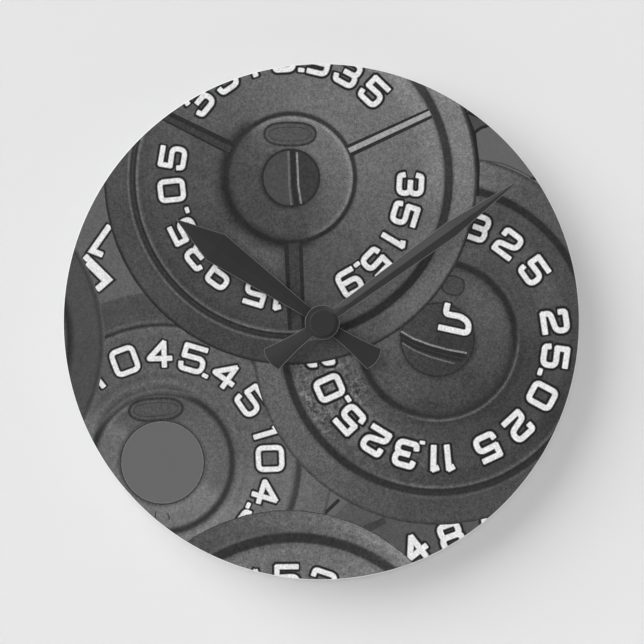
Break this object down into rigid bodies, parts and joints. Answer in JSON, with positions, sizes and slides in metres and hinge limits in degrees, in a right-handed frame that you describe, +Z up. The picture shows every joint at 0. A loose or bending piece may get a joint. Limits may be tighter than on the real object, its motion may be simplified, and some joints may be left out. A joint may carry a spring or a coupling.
{
  "type": "wall clock",
  "caption": "Frameless round wall clock: printed acrylic disc dial, two creased hands and a battery quartz movement with a hanger loop behind.",
  "frame": {"origin": "on the hands' axis, in the plane of the movement's back, which rests on the wall", "axes": "+Y along the hands' axis into the wall, +Z up, +X to the right for a person facing the dial; the dial faces -Y"},
  "size_m": [0.2032, 0.0289, 0.2032],
  "materials": {
    "acrylic_white": "polished edge",
    "print": "greyscale print, satin gloss",
    "rubber": "matte",
    "brass": "turned",
    "pipe_brass": "turned",
    "case_black": "fine moulded texture",
    "plate_plastic": "moulded",
    "wheel_plastic": "moulded",
    "knob_plastic": "moulded",
    "board": "solder mask",
    "epoxy": "glossy",
    "crystal_can": "drawn can",
    "bobbin": "moulded",
    "copper": "enamelled copper wire",
    "stator_steel": "stamped",
    "contact_steel": "plated spring strip",
    "cell_steel": "plated can",
    "cell_label": "shrink sleeve",
    "hand_black": "matte black",
    "magnet": "bonded magnet"
  },
  "bodies": {
    "clock_body": {"dial_panel": "acrylic_white", "printed_face": "print", "rubber_washer": "rubber", "brass_washer": "brass", "hex_nut": "brass", "movement_front_case": "case_black", "movement_rear_cover": "case_black", "train_plate": "plate_plastic", "rear_bridge": "plate_plastic", "circuit_board": "board", "chip_blob": "epoxy", "quartz_crystal": "crystal_can", "coil_bobbin": "bobbin", "coil_winding": "copper", "coil_leads": "copper", "coil_core": "stator_steel", "stator_upper": "stator_steel", "stator_lower": "stator_steel", "battery_contact_positive": "contact_steel", "battery_contact_negative": "contact_steel"},
    "minute_hand_group": {"minute_hand": "hand_black", "minute_pipe": "pipe_brass", "cap_nut": "hand_black"},
    "hour_hand_group": {"hour_hand": "hand_black", "hour_hand_collet": "pipe_brass", "hour_wheel": "wheel_plastic"},
    "motion_wheel_body": {"motion_wheel": "wheel_plastic"},
    "setting_knob_group": {"setting_knob": "knob_plastic", "setting_pinion": "wheel_plastic"},
    "seconds_wheel_body": {"seconds_wheel": "wheel_plastic"},
    "intermediate_wheel_body": {"intermediate_wheel": "wheel_plastic"},
    "rotor_group": {"rotor_pinion": "wheel_plastic", "rotor_magnet": "magnet"},
    "third_wheel_body": {"third_wheel": "wheel_plastic"},
    "centre_wheel_group": {"centre_wheel": "wheel_plastic", "clutch_spring": "contact_steel"},
    "battery": {"battery_cell": "cell_steel", "battery_sleeve": "cell_label"}
  },
  "joints": [
    {"name": "minute_hand_turn", "type": "hinge", "parent": "clock_body", "child": "minute_hand_group", "pos_m": [0, -0.0265, 0], "axis": [0, 1, 0], "continuous": true},
    {"name": "hour_hand_turn", "type": "hinge", "parent": "clock_body", "child": "hour_hand_group", "pos_m": [0, -0.0244, 0], "axis": [0, 1, 0], "continuous": true},
    {"name": "motion_wheel_turn", "type": "hinge", "parent": "clock_body", "child": "motion_wheel_body", "pos_m": [-0.0096, -0.014, 0], "axis": [0, 1, 0], "continuous": true},
    {"name": "setting_knob_turn", "type": "hinge", "parent": "clock_body", "child": "setting_knob_group", "pos_m": [-0.01681, -0.002, 0.00721], "axis": [0, 1, 0], "continuous": true},
    {"name": "seconds_wheel_turn", "type": "hinge", "parent": "clock_body", "child": "seconds_wheel_body", "pos_m": [0, -0.008, 0], "axis": [0, 1, 0], "continuous": true},
    {"name": "intermediate_wheel_turn", "type": "hinge", "parent": "clock_body", "child": "intermediate_wheel_body", "pos_m": [0.00607, -0.0065, 0.00724], "axis": [0, 1, 0], "continuous": true},
    {"name": "rotor_turn", "type": "hinge", "parent": "clock_body", "child": "rotor_group", "pos_m": [0.01399, -0.009, 0.00724], "axis": [0, 1, 0], "continuous": true},
    {"name": "third_wheel_turn", "type": "hinge", "parent": "clock_body", "child": "third_wheel_body", "pos_m": [-0.0059, -0.009, 0.00703], "axis": [0, 1, 0], "continuous": true},
    {"name": "centre_wheel_turn", "type": "hinge", "parent": "clock_body", "child": "centre_wheel_group", "pos_m": [0, -0.0107, 0], "axis": [0, 1, 0], "continuous": true},
    {"name": "battery_lift", "type": "slide", "parent": "clock_body", "child": "battery", "axis": [0, 1, 0], "range_m": [0, 0.025]}
  ],
  "couplings": [
    {"joint": "hour_hand_turn", "follows": "minute_hand_turn", "ratio": 0.083333},
    {"joint": "motion_wheel_turn", "follows": "minute_hand_turn", "ratio": -0.33333},
    {"joint": "setting_knob_turn", "follows": "minute_hand_turn", "ratio": 0.8},
    {"joint": "intermediate_wheel_turn", "follows": "seconds_wheel_turn", "ratio": -6},
    {"joint": "rotor_turn", "follows": "seconds_wheel_turn", "ratio": 30},
    {"joint": "third_wheel_turn", "follows": "seconds_wheel_turn", "ratio": -0.13333},
    {"joint": "centre_wheel_turn", "follows": "seconds_wheel_turn", "ratio": 0.016667}
  ]
}
